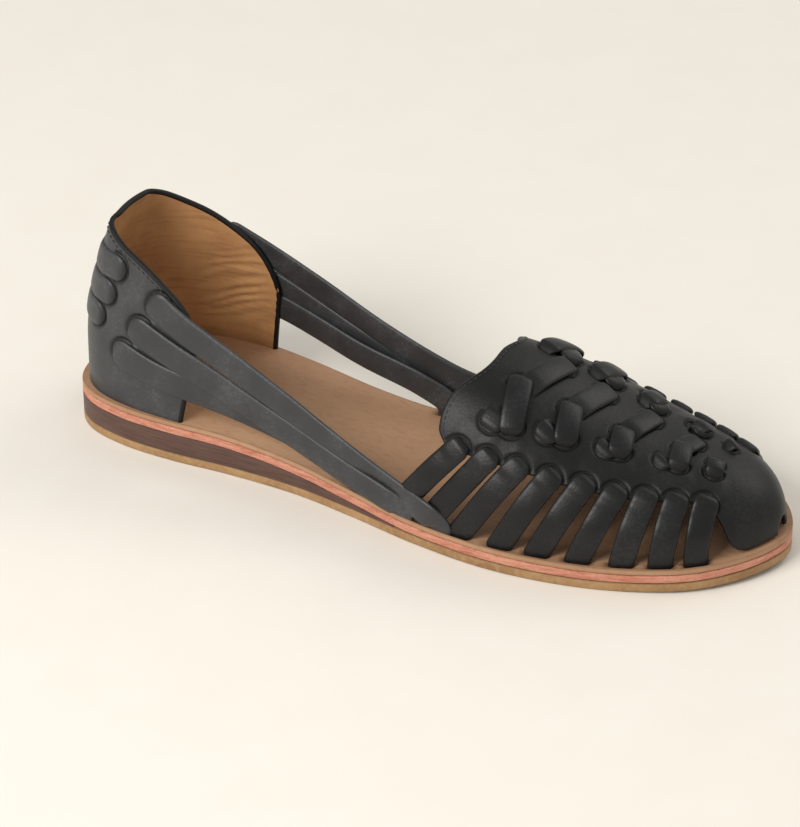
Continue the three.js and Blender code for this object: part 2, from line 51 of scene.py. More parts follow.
GAP = 0.3
LEATHER = 1.8
STRAP_WIDTH = 8.6
QUARTER_WIDTH = 9.4
COUNTER_HEIGHT = 65
INSTEP_HEIGHT = 49
RIM = 4
HEEL_RIM_SHARE = 1.1
PANEL_TIP = 0.4
ARC_OVER_STRAP = 120
WEDGE_FALL = (0.2, 0.58)
SPRING_FROM = 0.78
LEAN_FROM = 0.28
LEAN_POWER = 1.6
LEAN_BACK = 12
LEAN_SIDE = 6.5
LAST_SQUARENESS = 2.15
RIDGE_SHIFT = 1
TOPLINE_TILT = 0.03
TURN = 9              # points of the plan either way that give the way out of the shoe
EDGE_TURN = 3         # the same for the sole's edge
ROUNDING = 20         # points of the plan over which the heel is rounded toward its top
LINING = 0.7          # thickness of the tan lining inside the counter
STRAP_DOME = 0.28     # how far a strap's middle stands above its edges
SLIT_DIP = 1.5        # how deep a strap's end goes into its slit
SLIT_THIN = 0.4       # share of its thickness left at the end
SLIT_RUN = 3.2        # over what length it goes down
SLIT_EDGE = 0.3       # how far outside the strap's end its groove lies

# Plan of the sole: (share of LENGTH, share of BALL_WIDTH), clockwise from the heel
SOLE_PLAN = [
    (0.000, -0.030), (0.012, 0.160), (0.046, 0.262), (0.107, 0.322), (0.180, 0.334), (0.275, 0.303),
    (0.385, 0.266), (0.480, 0.276), (0.572, 0.360), (0.668, 0.442), (0.756, 0.478), (0.840, 0.444),
    (0.908, 0.369), (0.954, 0.281), (0.987, 0.152), (1.000, 0.022), (0.987, -0.101), (0.954, -0.236),
    (0.908, -0.348), (0.832, -0.444), (0.752, -0.501), (0.656, -0.522), (0.553, -0.487), (0.450, -0.421),
    (0.362, -0.375), (0.260, -0.361), (0.172, -0.367), (0.095, -0.348), (0.038, -0.291), (0.010, -0.202),
]
# Height of the last over the footbed: (share of LENGTH, share of INSTEP_HEIGHT)
INSTEP_LINE = [
    (0.540, 1.045), (0.590, 1.020), (0.645, 0.955), (0.700, 0.840), (0.750, 0.715), (0.812, 0.595),
    (0.875, 0.500), (0.925, 0.415), (0.955, 0.330), (0.973, 0.235), (0.982, 0.150), (0.985, 0.060),
]
# Top edge of the heel counter: (share of LENGTH, share of COUNTER_HEIGHT)
COUNTER_LINE = [
    (0.000, 1.000), (0.030, 0.990), (0.055, 0.960), (0.090, 0.900), (0.130, 0.830), (0.165, 0.745),
    (0.193, 0.655), (0.212, 0.545), (0.226, 0.400),
]
COUNTER_FRONT = {"outer_foot": 0.188, "outer_top": 0.212, "inner_foot": 0.216, "inner_top": 0.226}
COUNTER_FRONT_TOP = 0.45
# Lower edge of the vamp panel: (share of LENGTH, share of the arc over the last)
PANEL_EDGE = [
    (0.560, 0.180), (0.640, 0.186), (0.740, 0.207), (0.840, 0.238), (0.905, 0.268), (0.930, 0.195),
    (0.952, 0.030), (0.985, 0.030),
]
# Rear edge of the vamp panel: (share across, share of LENGTH)
REAR_EDGE = [(0.00, 0.585), (0.06, 0.570), (0.20, 0.574), (0.35, 0.598), (0.42, 0.604), (0.50, 0.605)]
# Straps over the vamp: foot and top as shares of LENGTH, reach of the arc, lifts as shares of LEATHER
VAMP_STRAPS = [
    {"foot": 0.513, "top": 0.612, "reach": 0.214, "low": 0.1, "middle": 1.2},
    {"foot": 0.565, "top": 0.652, "reach": 0.220, "low": 1.2, "middle": 0.3},
    {"foot": 0.614, "top": 0.690, "reach": 0.230, "low": 0.1, "middle": 0.6},
    {"foot": 0.671, "top": 0.730, "reach": 0.243, "low": 0.1, "middle": 0.6},
    {"foot": 0.721, "top": 0.770, "reach": 0.262, "low": 0.1, "middle": 0.6},
    {"foot": 0.773, "top": 0.808, "reach": 0.272, "low": 0.1, "middle": 0.6},
    {"foot": 0.827, "top": 0.842, "reach": 0.290, "low": 0.1, "middle": 0.6},
    {"foot": 0.873, "top": 0.876, "reach": 0.305, "low": 0.1, "middle": 0.6},
    {"foot": 0.912, "top": 0.908, "reach": 0.325, "low": 0.1, "middle": 0.6},
]
# Straps beside the heel: (share of LENGTH, share of COUNTER_HEIGHT, lift as a share of LEATHER)
QUARTER_PATHS = [
    [(0.140, 0.700, 0.60), (0.200, 0.565, 0.75), (0.320, 0.375, 1.00), (0.450, 0.212, 0.80),
     (0.530, 0.115, 0.20), (0.575, 0.080, 1.20), (0.588, 0.025, 0.40), (0.588, -0.050, 0.10)],
    [(0.110, 0.520, 0.60), (0.190, 0.395, 0.75), (0.320, 0.212, 1.00), (0.430, 0.118, 1.20),
     (0.505, 0.080, 1.30), (0.530, 0.030, 0.40), (0.530, -0.050, 0.10)],
    [(0.085, 0.345, 0.60), (0.150, 0.272, 0.60), (0.230, 0.210, 0.30), (0.330, 0.145, -0.60),
     (0.430, 0.098, -0.60), (0.468, 0.035, -0.40), (0.468, -0.050, 0.10)],
]
INNER_RISE = 0.06
INNER_REACH = 0.02
# Bands round the back of the counter: (share of COUNTER_HEIGHT, reach as a share of LENGTH)
HEEL_BANDS = [(0.795, 0.100), (0.640, 0.085), (0.490, 0.068)]
BAND_WIDTH = 9.4
INNER_END = 0.432     # where the inner side's crossing strips stop, share across
INNER_LAG = 5         # how much further forward the panel's rear edge lies on the inner side
HEEL_SPREAD = 1.3     # how much wider a side strap is at the counter
# Short strips of the braid, then the ones that cross: from (along, across) to (along, across), width
SHORT_STRIPS = [
    (0.663, 0.262, 0.646, 0.440, 8.4), (0.727, 0.300, 0.711, 0.440, 8.4), (0.791, 0.338, 0.779, 0.453, 8.0),
    (0.862, 0.368, 0.852, 0.497, 7.2), (0.905, 0.388, 0.896, 0.490, 6.2),
]
CROSSING_STRIPS = [
    (0.631, 0.253, 0.684, 0.562, 8.8), (0.697, 0.287, 0.741, 0.552, 8.8), (0.768, 0.328, 0.805, 0.552, 8.2),
    (0.836, 0.368, 0.868, 0.540, 7.4),
]


# Curve helpers
def clamp01(t):
    return np.clip(t, 0.0, 1.0)


def ease(t):
    return clamp01(t) ** 2 * (3 - 2 * clamp01(t))


def mix(a, b, t):
    return a + (b - a) * t


def read(table, at, column=1):
    """Reads a column of a table at places along it, on a smooth curve through its rows"""
    keys = np.array([row[0] for row in table], float)
    values = np.array([row[column] for row in table], float)
    slopes = np.empty_like(values)
    slopes[1:-1] = (values[2:] - values[:-2]) / (keys[2:] - keys[:-2])
    slopes[0] = (values[1] - values[0]) / (keys[1] - keys[0])
    slopes[-1] = (values[-1] - values[-2]) / (keys[-1] - keys[-2])
    at = np.clip(np.asarray(at, float), keys[0], keys[-1])
    i = np.clip(np.searchsorted(keys, at, side="right") - 1, 0, len(keys) - 2)
    span = keys[i + 1] - keys[i]
    t = (at - keys[i]) / span
    step = t * t * (3 - 2 * t)
    bend = span * (slopes[i] * t * (1 - t) ** 2 - slopes[i + 1] * t * t * (1 - t))
    return values[i] * (1 - step) + values[i + 1] * step + bend


def through(points, samples, closed=False):
    """A centripetal curve through points, with a number of samples on each stretch"""
    points = np.asarray(points, float)
    n = len(points)
    stretches = n if closed else n - 1
    out = []
    for k in range(stretches):
        p = [points[(k + d) % n] if closed else points[min(max(k + d, 0), n - 1)] for d in (-1, 0, 1, 2)]
        if not closed and k == 0:
            p[0] = 2 * p[1] - p[2]
        if not closed and k == n - 2:
            p[3] = 2 * p[2] - p[1]
        gaps = [max(1e-6, np.linalg.norm(p[i + 1] - p[i]) ** 0.5) for i in range(3)]
        first, second, third = (p[i + 1] - p[i] for i in range(3))
        start = (first / gaps[0] - (p[2] - p[0]) / (gaps[0] + gaps[1]) + second / gaps[1]) * gaps[1]
        end = (second / gaps[1] - (p[3] - p[1]) / (gaps[1] + gaps[2]) + third / gaps[2]) * gaps[1]
        t = (np.arange(samples) / samples)[:, None]
        cubic = 2 * p[1] - 2 * p[2] + start + end
        square = -3 * p[1] + 3 * p[2] - 2 * start - end
        out.append(p[1] + start * t + square * t ** 2 + cubic * t ** 3)
    if not closed:
        out.append(points[-1:])
    return np.concatenate(out)


def unit(v):
    return v / np.maximum(1e-9, np.linalg.norm(v, axis=-1, keepdims=True))


# The plan of the sole and its two sides
plan = through([(a * LENGTH, b * BALL_WIDTH) for a, b in SOLE_PLAN], 20, closed=True)
plan = np.vstack([plan, plan[:1]])
TIP = int(plan[:, 0].argmax())
SOLE_END = plan[TIP, 0]
inner_side = plan[:TIP + 1]
outer_side = plan[TIP:][::-1]
SHIFT = np.array([-SOLE_END / 2, -(plan[:, 1].max() + plan[:, 1].min()) / 2, 0.0])


def inner(x):
    return np.interp(x, np.maximum.accumulate(inner_side[:, 0]), inner_side[:, 1])


def outer(x):
    return np.interp(x, np.maximum.accumulate(outer_side[:, 0]), outer_side[:, 1])


# Heights of the layers of the sole
def spring_at(x):
    return TOE_SPRING * clamp01((x / LENGTH - SPRING_FROM) / (1 - SPRING_FROM)) ** 2


def wedge_at(x):
    return (WEDGE_HEIGHT + GAP) * (1 - ease((x / LENGTH - WEDGE_FALL[0]) / (WEDGE_FALL[1] - WEDGE_FALL[0])))


def outsole_top(x):
    return spring_at(x) + OUTSOLE_THICKNESS


def midsole_bottom(x):
    return outsole_top(x) + GAP + wedge_at(x)


def midsole_top(x):
    return midsole_bottom(x) + MIDSOLE_THICKNESS


def insole_bottom(x):
    return midsole_top(x) + GAP


def footbed(x):
    return insole_bottom(x) + INSOLE_THICKNESS


# The foot line of the last
LAST_BACK = RIM * HEEL_RIM_SHARE
LAST_FRONT = SOLE_END - RIM
middle_line = (inner(plan[:-1, 0]) + outer(plan[:-1, 0])) / 2
foot_line = np.stack([
    mix(LAST_BACK, LAST_FRONT, plan[:-1, 0] / SOLE_END),
    middle_line + (plan[:-1, 1] - middle_line) * (1 - 2 * RIM / BALL_WIDTH)], axis=1)
COUNT = len(foot_line)
foot_out = unit(np.roll(foot_line, -TURN, axis=0) - np.roll(foot_line, TURN, axis=0))
foot_out = np.stack([-foot_out[:, 1], foot_out[:, 0]], axis=1)
kernel = np.hanning(2 * ROUNDING + 1)
kernel /= kernel.sum()
looped = np.concatenate([foot_line[-ROUNDING:], foot_line, foot_line[:ROUNDING]])
round_line = np.stack([np.convolve(looped[:, k], kernel, "valid") for k in (0, 1)], axis=1)
foot_inner = foot_line[:TIP + 1]
foot_outer = np.vstack([foot_line[TIP:], foot_line[:1]])[::-1]


def foot_at(index):
    """Places on the foot line and the ways out of the shoe there"""
    whole = np.floor(index).astype(int)
    share = (index - whole)[..., None]
    a, b = whole % COUNT, (whole + 1) % COUNT
    return mix(foot_line[a], foot_line[b], share), unit(mix(foot_out[a], foot_out[b], share))


def foot_index(x, side):
    """The index on the foot line at a length, on the inner side (1) or the outer side (-1)"""
    line = foot_inner if side > 0 else foot_outer
    return side * np.interp(x, np.maximum.accumulate(line[:, 0]), np.arange(len(line)))


def side_wall(index, height, lift):
    """The side wall of the last round the heel, at heights over the footbed"""
    point, out = foot_at(index)
    whole = np.floor(index).astype(int)
    rounded = mix(round_line[whole % COUNT], round_line[(whole + 1) % COUNT], (index - whole)[..., None])
    point = mix(point, rounded, ease(height / COUNTER_HEIGHT)[..., None])
    back = np.maximum(0, -out[..., 0]) ** 2
    share = np.maximum(0, height / COUNTER_HEIGHT - LEAN_FROM) / (1 - LEAN_FROM)
    lean = mix(LEAN_SIDE, LEAN_BACK, back) * share ** LEAN_POWER
    x = point[..., 0] + out[..., 0] * (lift - lean)
    y = point[..., 1] + out[..., 1] * (lift - lean)
    return np.stack([x, y, footbed(x) + height], axis=-1)


def flat_out(index):
    out = foot_at(index)[1]
    return np.concatenate([out, np.zeros(out.shape[:-1] + (1,))], axis=-1)


def wall_out(index, height):
    """The ways square out of the side wall"""
    up = side_wall(index, height + 0.5, 0) - side_wall(index, height - 0.5, 0)
    along = side_wall(index + 0.5, height, 0) - side_wall(index - 0.5, height, 0)
    out = unit(np.cross(up, along))
    return out * np.sign(np.sum(out * flat_out(index), axis=-1, keepdims=True))


def signed_power(v):
    return np.sign(v) * np.abs(v) ** (2 / LAST_SQUARENESS)


def last_point(x, across):
    """The last over the instep and toes: across runs 0 to 1 from the outer foot line to the inner one"""
    y0 = np.interp(x, np.maximum.accumulate(foot_outer[:, 0]), foot_outer[:, 1])
    y1 = np.interp(x, np.maximum.accumulate(foot_inner[:, 0]), foot_inner[:, 1])
    half = (y1 - y0) / 2
    angle = np.pi * across
    height = INSTEP_HEIGHT * read(INSTEP_LINE, x / LENGTH)
    shift = RIDGE_SHIFT * 2 * half / BALL_WIDTH
    y = (y0 + y1) / 2 - half * signed_power(np.cos(angle)) + shift * np.sin(angle)
    return np.stack([x, y, footbed(x) + height * signed_power(np.sin(angle))], axis=-1)


def last_normal(x, across):
    ahead = last_point(np.minimum(x + 0.5, LAST_FRONT - 0.05), across)
    along = ahead - last_point(x - 0.5, across)
    over = last_point(x, np.minimum(1, across + 0.01)) - last_point(x, np.maximum(0, across - 0.01))
    return unit(np.cross(along, over))


# Meshes
def to_object(name, points, faces, material, uv=None, values=None):
    """A finished piece from points in millimetres from the heel"""
    mesh = bpy.data.meshes.new(name)
    mesh.from_pydata(((points + SHIFT) / 1000).tolist(), [], faces)
    for key, column in (values or {}).items():
        mesh.attributes.new(key, "FLOAT", "POINT").data.foreach_set("value", column.astype(np.float32))
    if uv is not None:
        layer = mesh.uv_layers.new(name="UVMap")
        corners = np.empty(len(mesh.loops), np.int32)
        mesh.loops.foreach_get("vertex_index", corners)
        layer.data.foreach_set("uv", uv[corners].astype(np.float32).ravel())
    work = bmesh.new()
    work.from_mesh(mesh)
    bmesh.ops.remove_doubles(work, verts=work.verts, dist=1e-6)
    bmesh.ops.recalc_face_normals(work, faces=work.faces)
    work.to_mesh(mesh)
    work.free()
    mesh.shade_smooth()
    mesh.materials.append(material)
    piece = bpy.data.objects.new(name, mesh)
    bpy.context.scene.collection.objects.link(piece)
    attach(piece, "root")
    return piece


def grid_faces(rows, columns, start=0, wrap=False):
    faces = []
    for i in range(rows - 1):
        for j in range(columns if wrap else columns - 1):
            k = (j + 1) % columns
            faces.append((start + i * columns + j, start + i * columns + k,
                          start + (i + 1) * columns + k, start + (i + 1) * columns + j))
    return faces


class Bundle:
    """Gathers several bodies into one mesh"""

    def __init__(self):
        self.points, self.faces, self.uv, self.values, self.count = [], [], [], [], 0

    def add(self, points, faces, uv=None, values=None):
        self.points.append(points)
        self.faces += [tuple(v + self.count for v in f) for f in faces]
        self.uv.append(uv if uv is not None else np.zeros((len(points), 2)))
        self.values.append(values if values is not None else np.zeros(len(points)))
        self.count += len(points)

    def finish(self, name, material, slot):
        return to_object(name, np.concatenate(self.points), self.faces, material,
                         np.concatenate(self.uv), {"shade": np.concatenate(self.values)})


RING = 22  # points round a strap's section


def ribbon(bundle, points, outs, width, base, thick=LEATHER, start="slit", end="slit", dome=STRAP_DOME,
           dip=SLIT_DIP):
    """A leather strap along points, with soft edges. Its ends are cut square, rounded, or go down a slit"""
    steps = np.linalg.norm(np.diff(points, axis=0), axis=1)
    far = np.concatenate([[0], np.cumsum(steps)])
    width = np.broadcast_to(np.asarray(width, float), far.shape).copy()
    base = np.broadcast_to(np.asarray(base, float), far.shape).copy()
    thick = np.full(far.shape, float(thick))
    shade = np.zeros(far.shape)
    for kind, distance in ((start, far), (end, far[-1] - far)):
        if kind == "square":
            continue
        share = clamp01(distance / (width / 2))
        round_off = np.sqrt(np.maximum(0.02, 1 - (1 - share) ** 2))
        # Painted shade: the strap darkens toward each end that is not cut square, where it goes down its slit
        shade = np.maximum(shade, 1 - ease(distance / SLIT_RUN))
        width *= round_off
        if kind == "slit":
            end_share = (1 - clamp01(distance / SLIT_RUN)) ** 2
            base -= dip * end_share
            thick *= 1 - (1 - SLIT_THIN) * end_share
    along = unit(np.gradient(points, axis=0))
    across = unit(np.cross(along, outs))
    out = unit(np.cross(across, along))
    angle = np.linspace(0, 2 * np.pi, RING, endpoint=False) + np.pi / RING
    sideways = np.sign(np.cos(angle)) * np.abs(np.cos(angle)) ** 0.42
    rise = np.sign(np.sin(angle)) * np.abs(np.sin(angle)) ** 0.75
    lift = base[:, None] + thick[:, None] * (0.5 + 0.5 * rise) + dome * (1 - sideways ** 2) * (rise > 0)
    at = (points[:, None] + across[:, None] * (sideways * width[:, None] / 2)[..., None]
          + out[:, None] * lift[..., None])
    n = len(points)
    faces = grid_faces(n, RING, wrap=True)
    faces.append(tuple(range(RING))[::-1])
    faces.append(tuple(range((n - 1) * RING, n * RING)))
    uv = np.stack([np.repeat(far[:, None], RING, 1) / 1000, sideways * width[:, None] / 2000], axis=-1)
    bundle.add(at.reshape(-1, 3), faces, uv.reshape(-1, 2), np.repeat(shade, RING))


def stations(count, crowd=0.75):
    """Places from 0 to 1, closer together near both ends"""
    t = np.linspace(0, 1, count)
    return mix(t, 0.5 - 0.5 * np.cos(np.pi * t), crowd)


def wall_lifts(distance, thick, radius):
    """Outside and inside lifts of a wall whose edge is rounded within a radius of its rim"""
    full = np.sqrt(np.maximum(0, 1 - (1 - clamp01(distance / radius)) ** 2))
    return thick / 2 * (1 + full), thick / 2 * (1 - full)


def rim_distance(grid):
    """How far each point of a grid is from the grid's four edges"""
    down = np.linalg.norm(np.diff(grid, axis=0), axis=-1)
    over = np.linalg.norm(np.diff(grid, axis=1), axis=-1)
    a = np.concatenate([np.zeros((1, grid.shape[1])), np.cumsum(down, axis=0)])
    b = np.concatenate([np.zeros((grid.shape[0], 1)), np.cumsum(over, axis=1)], axis=1)
    return np.minimum(np.minimum(a, a[-1:] - a), np.minimum(b, b[:, -1:] - b))


def shell(name, outside, inside, material, uv, values):
    """A wall between two grids of points that meet along their edges"""
    rows, columns = outside.shape[:2]
    faces = grid_faces(rows, columns) + [f[::-1] for f in grid_faces(rows, columns, rows * columns)]
    points = np.concatenate([outside.reshape(-1, 3), inside.reshape(-1, 3)])
    both = {k: np.concatenate([v.ravel(), v.ravel()]) for k, v in values.items()}
    return to_object(name, points, faces, material, np.concatenate([uv.reshape(-1, 2)] * 2), both)


class Slit:
    """The rounded cut that a strap's end goes down: its place, the way the strap points and its half width"""

    def __init__(self, tip, toward, normal, half):
        self.toward = unit(toward - normal * np.dot(toward, normal))
        self.across = unit(np.cross(normal, self.toward))
        self.centre = tip - self.toward * half
        self.half = half

    def depth(self, points, width=0.6):
        away = points - self.centre
        a, b = away @ self.toward, away @ self.across
        ring = np.exp(-((np.hypot(a, b) - self.half - SLIT_EDGE) / width) ** 2)
        near = np.linalg.norm(away, axis=-1) < self.half + 4
        return ring * ease((a + self.half * 0.5) / 1.2) * near


def segment_distance(points, a, b):
    way = b - a
    t = clamp01(((points - a) @ way) / max(1e-9, way @ way))
    return np.linalg.norm(points - (a + t[..., None] * way), axis=-1)


def waves(points, seed, size, terms=7):
    """Soft unevenness from a few sine waves in fixed random directions"""
    draw = np.random.default_rng(seed)
    total = np.zeros(points.shape[:-1])
    for _ in range(terms):
        way = unit(draw.normal(size=3)) * 2 * np.pi / (size * draw.uniform(0.6, 1.6))
        total += np.sin(points @ way + draw.uniform(0, 6.28))
    return total / terms


# Shader maths
class Sock:
    """A socket that can be used in sums"""

    def __init__(self, shader, socket):
        self.shader, self.socket = shader, socket

    def _math(self, operation, *values):
        return self.shader.node("Math", {"operation": operation}, dict(enumerate(values)))

    def __add__(self, other):
        return self._math("ADD", self, other)

    def __radd__(self, other):
        return self._math("ADD", other, self)

    def __sub__(self, other):
        return self._math("SUBTRACT", self, other)

    def __mul__(self, other):
        return self._math("MULTIPLY", self, other)

    def __truediv__(self, other):
        return self._math("DIVIDE", self, other)

    def clamp(self, low=0.0, high=1.0):
        return self._math("MINIMUM", self._math("MAXIMUM", self, low), high)

    def between(self, low, high):
        """0 below low, 1 above high, and a straight rise between them"""
        return ((self - low) / (high - low)).clamp()


class Shader:
    """A material built up node by node"""

    def __init__(self, name):
        self.material = bpy.data.materials.new(name)
        self.material.use_nodes = True
        self.tree = self.material.node_tree
        self.tree.nodes.clear()

    def node(self, kind, settings=None, values=None, out=0):
        made = self.tree.nodes.new("ShaderNode" + kind)
        for key, value in (settings or {}).items():
            setattr(made, key, value)
        for key, value in (values or {}).items():
            if isinstance(value, Sock):
                self.tree.links.new(value.socket, made.inputs[key])
            else:
                made.inputs[key].default_value = value
        return Sock(self, made.outputs[out]) if made.outputs else made

    def place(self):
        return self.node("TexCoord", out="Object")

    def attribute(self, name):
        return self.node("Attribute", {"attribute_name": name}, out="Fac")

    def stretched(self, vector, scale):
        return self.node("Mapping", {}, {"Vector": vector, "Scale": scale})

    def noise(self, vector, scale, detail=3.0, rough=0.55):
        values = {"Vector": vector, "Scale": scale, "Detail": detail, "Roughness": rough}
        return self.node("TexNoise", {}, values)

    def cells(self, vector, scale):
        values = {"Vector": vector, "Scale": scale}
        return self.node("TexVoronoi", {"feature": "SMOOTH_F1"}, values, "Distance")

    def blend(self, first, second, factor):
        return self.node("Mix", {"data_type": "RGBA"}, {0: factor, 6: first, 7: second}, 2)

    def bump(self, height, distance, strength=1.0, normal=None):
        values = {"Height": height, "Distance": distance, "Strength": strength}
        if normal is not None:
            values["Normal"] = normal
        return self.node("Bump", {}, values)

    def finish(self, color, roughness, normal, **fixed):
        values = {"Base Color": color, "Roughness": roughness, "Normal": normal}
        values.update({key.replace("_", " "): value for key, value in fixed.items()})
        surface = self.node("BsdfPrincipled", {}, values)
        self.node("OutputMaterial", {}, {"Surface": surface})
        return self.material


def rgb(r, g, b):
    """A colour given as it looks on a screen, 0 to 255"""
    straight = [v / 255 for v in (r, g, b)]
    return tuple(v / 12.92 if v <= 0.04045 else ((v + 0.055) / 1.055) ** 2.4 for v in straight) + (1.0,)


def black_leather(name, dark, light, worn, roughness, shine):
    s = Shader(name)
    place = s.place()
    patches = s.noise(place, 70, 4)
    fine = s.noise(place, 900, 3)
    grain = s.cells(place, 1500)
    pores = s.cells(place, 3300)
    shade = s.attribute("shade")
    color = s.blend(dark, light, patches.between(0.35, 0.68))
    color = s.blend(color, worn, (fine * patches).between(0.27, 0.42) * 0.5)
    # Painted shade: the shade attribute darkens the leather in slit grooves and at strap ends going down
    # slits
    color = s.blend(color, rgb(9, 9, 10), shade * 0.85)
    rough = roughness + (patches - 0.5) * 0.16 + (grain - 0.4) * 0.1 + shade * 0.2
    soft = s.bump(patches, 0.0006, 0.35)
    normal = s.bump(grain * 0.6 + pores * 0.25 + fine * 0.35, 0.00012, 0.55, soft)
    return s.finish(color, rough.clamp(0.15, 1.0), normal, Specular_IOR_Level=shine)


def lining_leather():
    s = Shader("tan_lining")
    place = s.place()
    patches = s.noise(place, 45, 4)
    fine = s.noise(place, 1100, 3)
    streaks = s.noise(s.stretched(place, (1.0, 1.0, 9.0)), 60, 4)
    color = s.blend(rgb(205, 158, 108), rgb(172, 126, 84), patches.between(0.3, 0.7))
    color = s.blend(color, rgb(134, 92, 58), streaks.between(0.52, 0.75) * 0.5)
    # Painted shade from the shade attribute, low in the lining's corner
    color = s.blend(color, rgb(70, 42, 22), s.attribute("shade") * 0.8)
    normal = s.bump(fine + streaks * 0.6, 0.0002, 0.5)
    return s.finish(color, 0.55 + (fine - 0.5) * 0.2, normal, Specular_IOR_Level=0.35)


def footbed_leather():
    s = Shader("tan_footbed")
    place = s.place()
    patches = s.noise(place, 22, 5)
    fine = s.noise(place, 1500, 3)
    fibres = s.noise(s.stretched(place, (1.0, 2.2, 1.0)), 260, 5)
    pores = s.cells(place, 2600)
    color = s.blend(rgb(182, 144, 112), rgb(166, 127, 96), patches.between(0.3, 0.7))
    color = s.blend(color, rgb(138, 100, 72), fibres.between(0.5, 0.8) * 0.4)
    color = s.blend(color, rgb(120, 82, 58), s.attribute("edge") * 0.55)
    # Painted shade round the slots where straps and counter go through the footbed
    color = s.blend(color, rgb(58, 34, 22), s.attribute("shade") * 0.9)
    normal = s.bump(fine * 0.5 + pores * 0.35 + fibres * 0.4, 0.00016, 0.5)
    rough = 0.6 + (fibres - 0.5) * 0.22
    return s.finish(color, rough.clamp(0.2, 1.0), normal, Specular_IOR_Level=0.3)


def cut_edge_leather():
    s = Shader("pink_cut_edge")
    place = s.place()
    lengthways = s.noise(s.stretched(place, (1.0, 1.0, 7.0)), 140, 5)
    fibres = s.noise(s.stretched(place, (1.0, 1.0, 4.0)), 900, 4)
    patches = s.noise(place, 26, 3)
    color = s.blend(rgb(226, 160, 134), rgb(200, 124, 100), lengthways.between(0.38, 0.66))
    color = s.blend(color, rgb(158, 84, 64), fibres.between(0.55, 0.78) * 0.55)
    color = s.blend(color, rgb(236, 176, 150), patches.between(0.55, 0.75) * 0.45)
    normal = s.bump(fibres + lengthways * 0.8, 0.0008, 0.9)
    return s.finish(color, 0.6 + (fibres - 0.5) * 0.3, normal, Specular_IOR_Level=0.3)


def wedge_leather():
    s = Shader("dark_wedge")
    place = s.place()
    lifts = s.noise(s.stretched(place, (1.0, 1.0, 12.0)), 90, 4)
    fibres = s.noise(s.stretched(place, (1.0, 1.0, 5.0)), 1000, 4)
    color = s.blend(rgb(96, 70, 60), rgb(78, 55, 47), lifts.between(0.35, 0.65))
    color = s.blend(color, rgb(116, 88, 74), fibres.between(0.58, 0.8) * 0.4)
    normal = s.bump(fibres + lifts, 0.00022, 0.5)
    return s.finish(color, 0.5 + (fibres - 0.5) * 0.25, normal, Specular_IOR_Level=0.4)


def honey_rubber():
    s = Shader("honey_rubber")
    place = s.place()
    patches = s.noise(place, 55, 4)
    crumb = s.cells(place, 700)
    fine = s.noise(place, 1800, 3)
    color = s.blend(rgb(170, 134, 92), rgb(146, 110, 72), patches.between(0.35, 0.65))
    color = s.blend(color, rgb(184, 150, 110), crumb.between(0.42, 0.62) * 0.35)
    color = s.blend(color, rgb(96, 66, 40), s.attribute("edge") * 0.6)
    normal = s.bump(crumb * 0.8 + fine * 0.4, 0.0003, 0.6)
    return s.finish(color, 0.62 + (fine - 0.5) * 0.25, normal, Specular_IOR_Level=0.4)


def waxed_thread():
    s = Shader("black_thread")
    place = s.place()
    twist = s.noise(place, 3500, 2)
    color = s.blend(rgb(30, 30, 33), rgb(66, 66, 72), twist.between(0.35, 0.7))
    return s.finish(color, 0.5 + (twist - 0.5) * 0.2, s.bump(twist, 0.0001, 0.6), Specular_IOR_Level=0.5)


VAMP_BLACK = black_leather("vamp_leather", rgb(15, 15, 15), rgb(22, 22, 22), rgb(38, 38, 39), 0.44, 0.3)
# The heel pieces use a lighter copy of the black leather: the lift in its colours is painted reflection of
# the pale surroundings at grazing angles
HEEL_BLACK_LIT = black_leather("heel_leather_lit", rgb(45, 46, 48), rgb(57, 58, 60), rgb(80, 81, 84), 0.44, 0.5)
STRAP_BLACK = black_leather("strap_leather", rgb(16, 16, 17), rgb(24, 24, 25), rgb(42, 43, 44), 0.38, 0.32)
EDGE_BLACK = black_leather("edge_leather", rgb(12, 12, 12), rgb(17, 17, 17), rgb(30, 30, 31), 0.55, 0.3)
TAN_LINING = lining_leather()
TAN_FOOTBED = footbed_leather()
PINK_EDGE = cut_edge_leather()
DARK_WEDGE = wedge_leather()
HONEY_RUBBER = honey_rubber()
BLACK_THREAD = waxed_thread()


# The layers of the sole
def outline(stops, inset):
    """The sole's outline at lengths from heel to toe, drawn in by an inset: outer side, then inner side"""
    sides = []
    for source, across, way in ((outer_side, outer, 1), (inner_side, inner, -1)):
        line = np.stack([stops, across(stops)], axis=1)
        steps = np.arange(len(source))
        index = np.interp(stops, np.maximum.accumulate(source[:, 0]), steps)
        ends = [np.stack([np.interp(at, steps, source[:, k]) for k in (0, 1)], axis=1)
                for at in (index + EDGE_TURN, np.maximum(index - EDGE_TURN, 0))]
        along = unit(ends[0] - ends[1])
        out = np.stack([along[:, 1], -along[:, 0]], axis=1) * way
        out[0], out[-1] = (-1, 0), (1, 0)
        sides.append(line - out * inset)
    return sides


EDGE_ROUND = (0.0, 0.12, 0.35, 0.65, 1.0)  # places on the quarter circle that rounds a layer's edge
SOLE_STOPS = 190


